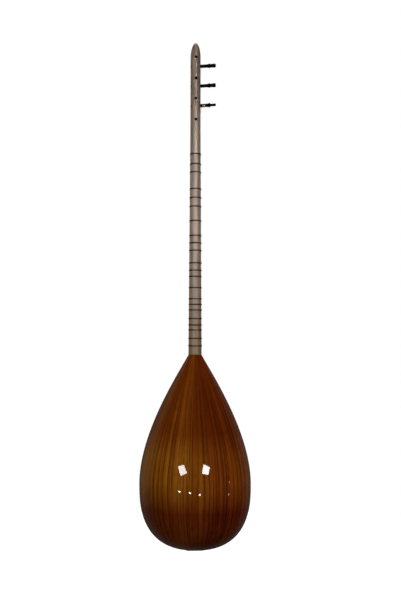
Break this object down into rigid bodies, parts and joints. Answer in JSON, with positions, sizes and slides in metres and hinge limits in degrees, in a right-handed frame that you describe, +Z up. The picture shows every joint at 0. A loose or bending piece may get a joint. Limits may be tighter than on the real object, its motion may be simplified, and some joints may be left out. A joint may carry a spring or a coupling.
{
  "type": "long-neck saz",
  "caption": "Long-neck lute with a staved teardrop bowl, arched soundboard, tied sliding frets, loose bridge and turning friction pegs for strings in courses.",
  "frame": {"origin": "on the centreline at the back of the head, just under the lowest side peg, where a wall hook takes the instrument", "axes": "+Z runs up the instrument towards the tip of the head, the soundboard faces -Y, the bowl's back faces +Y, the side pegs stand out towards -X"},
  "size_m": [0.273, 0.1891, 1.2507],
  "materials": {
    "bowl_wood": "orange-brown staves with dark red-brown streaks along the grain, under a high-gloss clear varnish",
    "block_wood": "plain unvarnished wood",
    "spruce": "straight-grained spruce under amber varnish",
    "dark_wood": "dark brown hardwood, semi-gloss",
    "neck_wood": "pale grey-tan wood with fine long grain, glossy varnish",
    "peg_wood": "black turned wood, satin polish",
    "bone": "polished bone",
    "fret_line": "dark brown nylon fret line, wound and tied",
    "steel_wire": "bright plain steel wire",
    "bronze_wire": "steel core wound with bronze wire"
  },
  "bodies": {
    "saz": {"stave_1": "bowl_wood", "stave_2": "bowl_wood", "stave_3": "bowl_wood", "stave_4": "bowl_wood", "stave_5": "bowl_wood", "stave_6": "bowl_wood", "stave_7": "bowl_wood", "stave_8": "bowl_wood", "stave_9": "bowl_wood", "neck_block": "block_wood", "tail_block": "dark_wood", "soundboard": "spruce", "soundboard_binding": "dark_wood", "neck": "neck_wood", "nut": "bone", "string_holder": "dark_wood", "string_1": "steel_wire", "string_2": "steel_wire", "string_3": "bronze_wire", "string_4": "steel_wire", "string_5": "steel_wire", "string_6": "steel_wire", "string_7": "bronze_wire"},
    "bridge": {"bridge": "dark_wood"},
    "fret_01": {"fret_01": "fret_line"},
    "fret_02": {"fret_02": "fret_line"},
    "fret_03": {"fret_03": "fret_line"},
    "fret_04": {"fret_04": "fret_line"},
    "fret_05": {"fret_05": "fret_line"},
    "fret_06": {"fret_06": "fret_line"},
    "fret_07": {"fret_07": "fret_line"},
    "fret_08": {"fret_08": "fret_line"},
    "fret_09": {"fret_09": "fret_line"},
    "fret_10": {"fret_10": "fret_line"},
    "fret_11": {"fret_11": "fret_line"},
    "fret_12": {"fret_12": "fret_line"},
    "fret_13": {"fret_13": "fret_line"},
    "fret_14": {"fret_14": "fret_line"},
    "fret_15": {"fret_15": "fret_line"},
    "fret_16": {"fret_16": "fret_line"},
    "fret_17": {"fret_17": "fret_line"},
    "fret_18": {"fret_18": "fret_line"},
    "fret_19": {"fret_19": "fret_line"},
    "fret_20": {"fret_20": "fret_line"},
    "fret_21": {"fret_21": "fret_line"},
    "fret_22": {"fret_22": "fret_line"},
    "front_peg_1": {"front_peg_1": "peg_wood", "string_4_winding": "steel_wire"},
    "front_peg_2": {"front_peg_2": "peg_wood", "string_3_winding": "bronze_wire"},
    "front_peg_3": {"front_peg_3": "peg_wood", "string_2_winding": "steel_wire"},
    "front_peg_4": {"front_peg_4": "peg_wood", "string_1_winding": "steel_wire"},
    "side_peg_1": {"side_peg_1": "peg_wood", "string_7_winding": "bronze_wire"},
    "side_peg_2": {"side_peg_2": "peg_wood", "string_6_winding": "steel_wire"},
    "side_peg_3": {"side_peg_3": "peg_wood", "string_5_winding": "steel_wire"}
  },
  "joints": [
    {"name": "fret_01_slide", "type": "slide", "parent": "saz", "child": "fret_01", "axis": [0, 0.0276, 0.9996], "range_m": [-0.004, 0.004]},
    {"name": "fret_02_slide", "type": "slide", "parent": "saz", "child": "fret_02", "axis": [0, 0.0276, 0.9996], "range_m": [-0.004, 0.004]},
    {"name": "fret_03_slide", "type": "slide", "parent": "saz", "child": "fret_03", "axis": [0, 0.0276, 0.9996], "range_m": [-0.004, 0.004]},
    {"name": "fret_04_slide", "type": "slide", "parent": "saz", "child": "fret_04", "axis": [0, 0.0276, 0.9996], "range_m": [-0.004, 0.004]},
    {"name": "fret_05_slide", "type": "slide", "parent": "saz", "child": "fret_05", "axis": [0, 0.0276, 0.9996], "range_m": [-0.004, 0.004]},
    {"name": "fret_06_slide", "type": "slide", "parent": "saz", "child": "fret_06", "axis": [0, 0.0276, 0.9996], "range_m": [-0.004, 0.004]},
    {"name": "fret_07_slide", "type": "slide", "parent": "saz", "child": "fret_07", "axis": [0, 0.0276, 0.9996], "range_m": [-0.004, 0.004]},
    {"name": "fret_08_slide", "type": "slide", "parent": "saz", "child": "fret_08", "axis": [0, 0.0276, 0.9996], "range_m": [-0.004, 0.004]},
    {"name": "fret_09_slide", "type": "slide", "parent": "saz", "child": "fret_09", "axis": [0, 0.0276, 0.9996], "range_m": [-0.004, 0.004]},
    {"name": "fret_10_slide", "type": "slide", "parent": "saz", "child": "fret_10", "axis": [0, 0.0276, 0.9996], "range_m": [-0.004, 0.004]},
    {"name": "fret_11_slide", "type": "slide", "parent": "saz", "child": "fret_11", "axis": [0, 0.0276, 0.9996], "range_m": [-0.004, 0.004]},
    {"name": "fret_12_slide", "type": "slide", "parent": "saz", "child": "fret_12", "axis": [0, 0.0276, 0.9996], "range_m": [-0.004, 0.004]},
    {"name": "fret_13_slide", "type": "slide", "parent": "saz", "child": "fret_13", "axis": [0, 0.0276, 0.9996], "range_m": [-0.004, 0.004]},
    {"name": "fret_14_slide", "type": "slide", "parent": "saz", "child": "fret_14", "axis": [0, 0.0276, 0.9996], "range_m": [-0.004, 0.004]},
    {"name": "fret_15_slide", "type": "slide", "parent": "saz", "child": "fret_15", "axis": [0, 0.0276, 0.9996], "range_m": [-0.004, 0.004]},
    {"name": "fret_16_slide", "type": "slide", "parent": "saz", "child": "fret_16", "axis": [0, 0.0276, 0.9996], "range_m": [-0.004, 0.004]},
    {"name": "fret_17_slide", "type": "slide", "parent": "saz", "child": "fret_17", "axis": [0, 0.0276, 0.9996], "range_m": [-0.004, 0.004]},
    {"name": "fret_18_slide", "type": "slide", "parent": "saz", "child": "fret_18", "axis": [0, 0.0276, 0.9996], "range_m": [-0.004, 0.004]},
    {"name": "fret_19_slide", "type": "slide", "parent": "saz", "child": "fret_19", "axis": [0, 0.0276, 0.9996], "range_m": [-0.004, 0.004]},
    {"name": "fret_20_slide", "type": "slide", "parent": "saz", "child": "fret_20", "axis": [0, 0.0276, 0.9996], "range_m": [-0.004, 0.004]},
    {"name": "fret_21_slide", "type": "slide", "parent": "saz", "child": "fret_21", "axis": [0, 0.0276, 0.9996], "range_m": [-0.004, 0.004]},
    {"name": "fret_22_slide", "type": "slide", "parent": "saz", "child": "fret_22", "axis": [0, 0.0276, 0.9996], "range_m": [-0.004, 0.004]},
    {"name": "front_peg_1_turn", "type": "hinge", "parent": "saz", "child": "front_peg_1", "pos_m": [0, -0.02431, -0.02904], "axis": [0, -0.9996, 0.0276], "continuous": true},
    {"name": "front_peg_2_turn", "type": "hinge", "parent": "saz", "child": "front_peg_2", "pos_m": [0, -0.02289, 0.02244], "axis": [0, -0.9996, 0.0276], "continuous": true},
    {"name": "front_peg_3_turn", "type": "hinge", "parent": "saz", "child": "front_peg_3", "pos_m": [0, -0.0215, 0.07292], "axis": [0, -0.9996, 0.0276], "continuous": true},
    {"name": "front_peg_4_turn", "type": "hinge", "parent": "saz", "child": "front_peg_4", "pos_m": [0, -0.02008, 0.1243], "axis": [0, -0.9996, 0.0276], "continuous": true},
    {"name": "side_peg_1_turn", "type": "hinge", "parent": "saz", "child": "side_peg_1", "pos_m": [-0.01175, -0.01283, 0.00616], "axis": [-0.9969, 0.0022, 0.0784], "continuous": true},
    {"name": "side_peg_2_turn", "type": "hinge", "parent": "saz", "child": "side_peg_2", "pos_m": [-0.0117, -0.01149, 0.05504], "axis": [-0.9969, 0.0022, 0.0784], "continuous": true},
    {"name": "side_peg_3_turn", "type": "hinge", "parent": "saz", "child": "side_peg_3", "pos_m": [-0.01165, -0.01014, 0.10392], "axis": [-0.9969, 0.0022, 0.0784], "continuous": true},
    {"name": "bridge_slide", "type": "slide", "parent": "saz", "child": "bridge", "axis": [0, 0, 1], "range_m": [-0.0015, 0.0015]}
  ]
}
